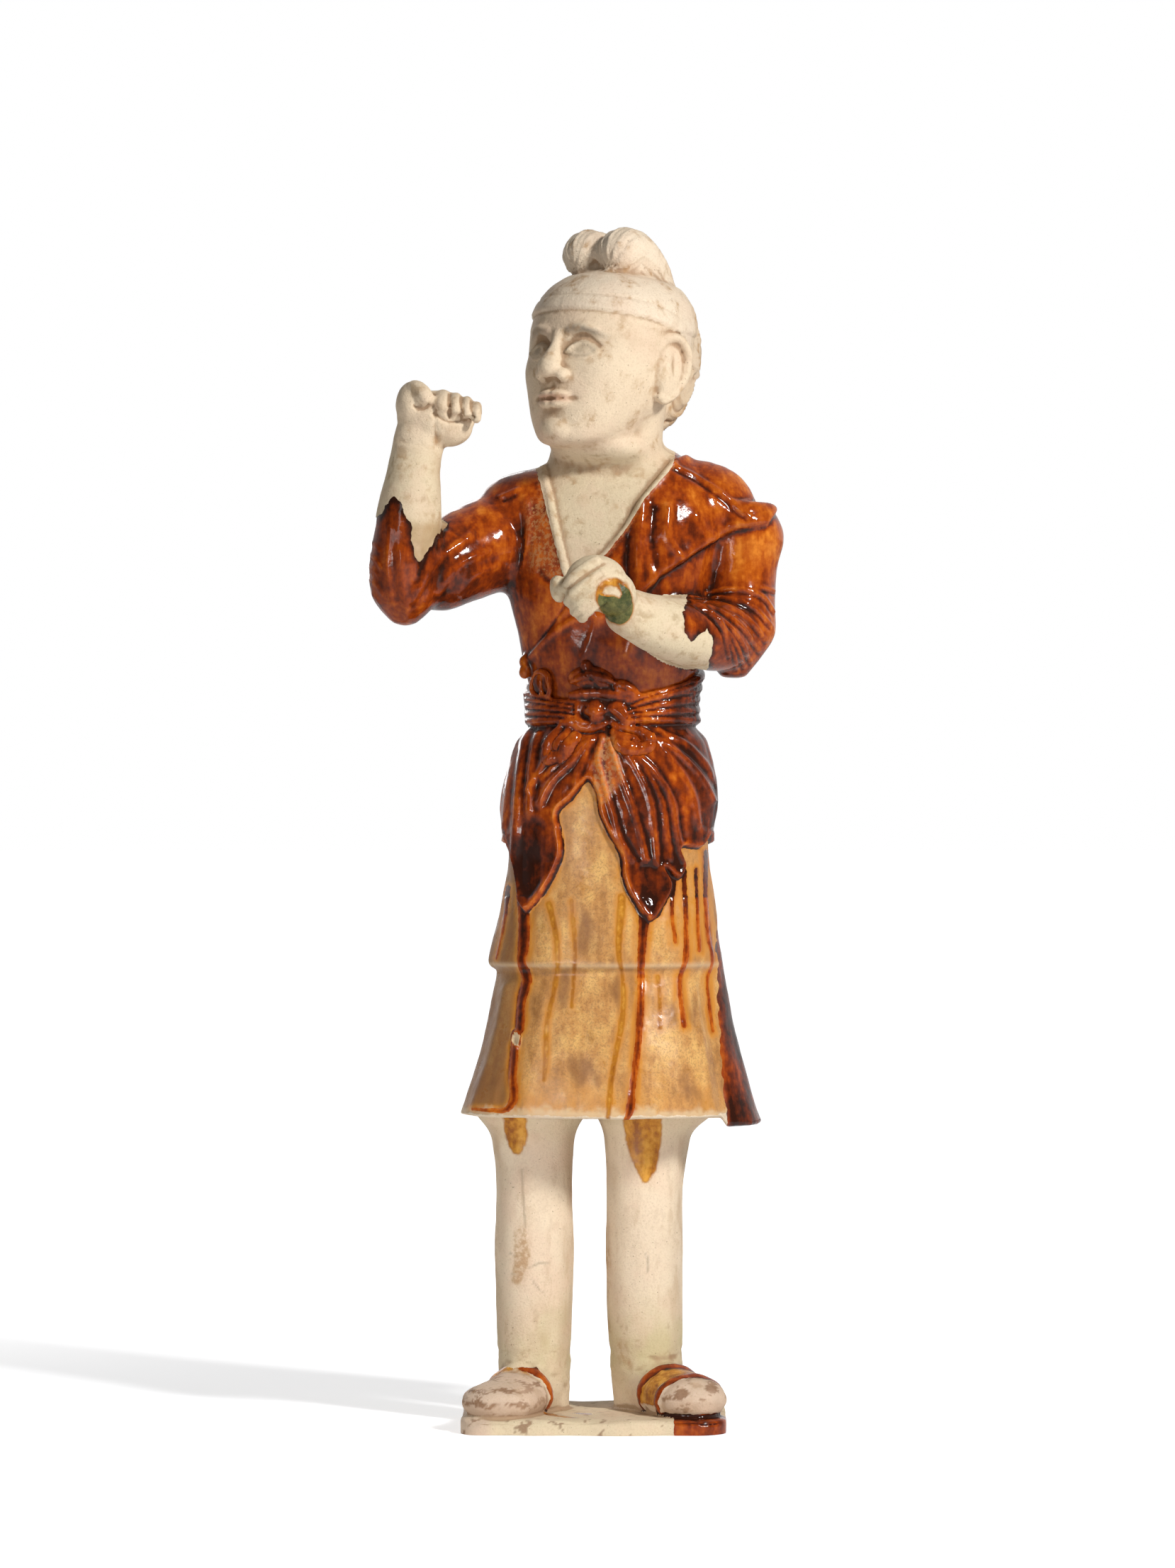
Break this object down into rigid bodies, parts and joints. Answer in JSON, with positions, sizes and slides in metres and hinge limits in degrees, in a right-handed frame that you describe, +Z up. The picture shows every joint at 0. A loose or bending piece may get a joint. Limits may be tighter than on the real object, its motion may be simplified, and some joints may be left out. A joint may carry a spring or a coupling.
{
  "type": "pottery groom figure",
  "caption": "Standing glazed pottery groom figure with one fist raised and one held before the chest, in a belted coat with a knotted sash, on a thin rectangular clay slab.",
  "frame": {"origin": "middle of the slab's underside, at the surface that the figure stands on", "axes": "+Z up, -Y to the figure's front, +X to the figure's left"},
  "size_m": [0.2414, 0.1649, 0.6994],
  "materials": {
    "glazed_clay": "amber and straw lead glaze over buff earthenware, glossy on the coat and bare and matte on the head, hands, legs and slab"
  },
  "bodies": {
    "root": {"pottery_groom": "glazed_clay"}
  },
  "joints": []
}
